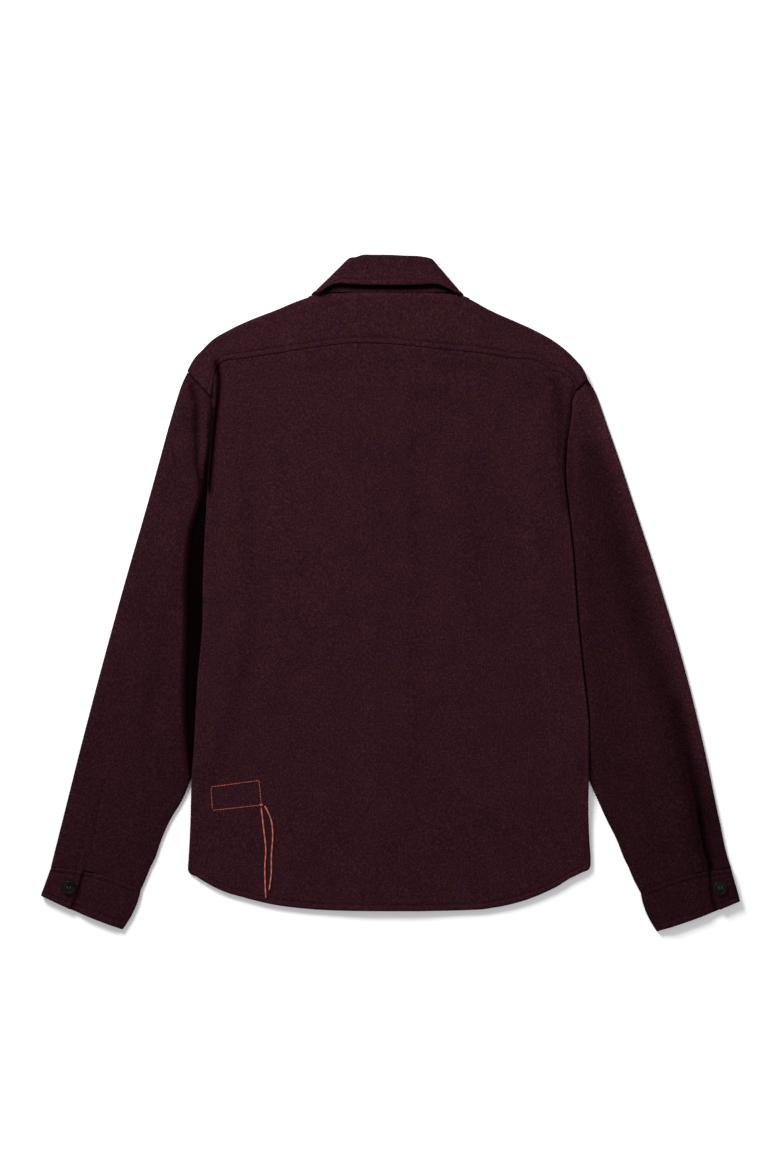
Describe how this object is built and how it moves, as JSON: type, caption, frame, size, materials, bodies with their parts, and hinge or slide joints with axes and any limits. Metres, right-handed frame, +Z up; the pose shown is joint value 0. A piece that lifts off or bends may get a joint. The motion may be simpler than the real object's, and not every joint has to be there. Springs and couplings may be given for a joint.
{
  "type": "shacket",
  "caption": "Wool overshirt laid flat on its front, back up: collar folded down, back yoke, long sleeves with buttoned cuffs and a curved shirt hem.",
  "frame": {"origin": "middle of the garment's box, on the surface that it lies on", "axes": "+Z up out of the surface, towards the back of the garment; +Y towards the collar; -X towards the wearer's left cuff"},
  "size_m": [0.8402, 0.8102, 0.016],
  "materials": {
    "wine_wool": "brushed melange wool in dark wine, soft and matt",
    "dark_green_horn": "polished horn-like resin, near black with a green cast",
    "orange_thread": "twisted thread in bright orange"
  },
  "bodies": {
    "root": {"back": "wine_wool", "yoke": "wine_wool", "front_left": "wine_wool", "front_right": "wine_wool", "sleeve_left": "wine_wool", "sleeve_right": "wine_wool", "cuff_left": "wine_wool", "cuff_right": "wine_wool", "collar_stand": "wine_wool", "collar_leaf": "wine_wool", "cuff_button_left": "dark_green_horn", "cuff_button_right": "dark_green_horn", "front_button_1": "dark_green_horn", "front_button_2": "dark_green_horn", "front_button_3": "dark_green_horn", "front_button_4": "dark_green_horn", "front_button_5": "dark_green_horn", "front_button_6": "dark_green_horn", "thread_tail_1": "orange_thread", "thread_tail_2": "orange_thread"}
  },
  "joints": []
}
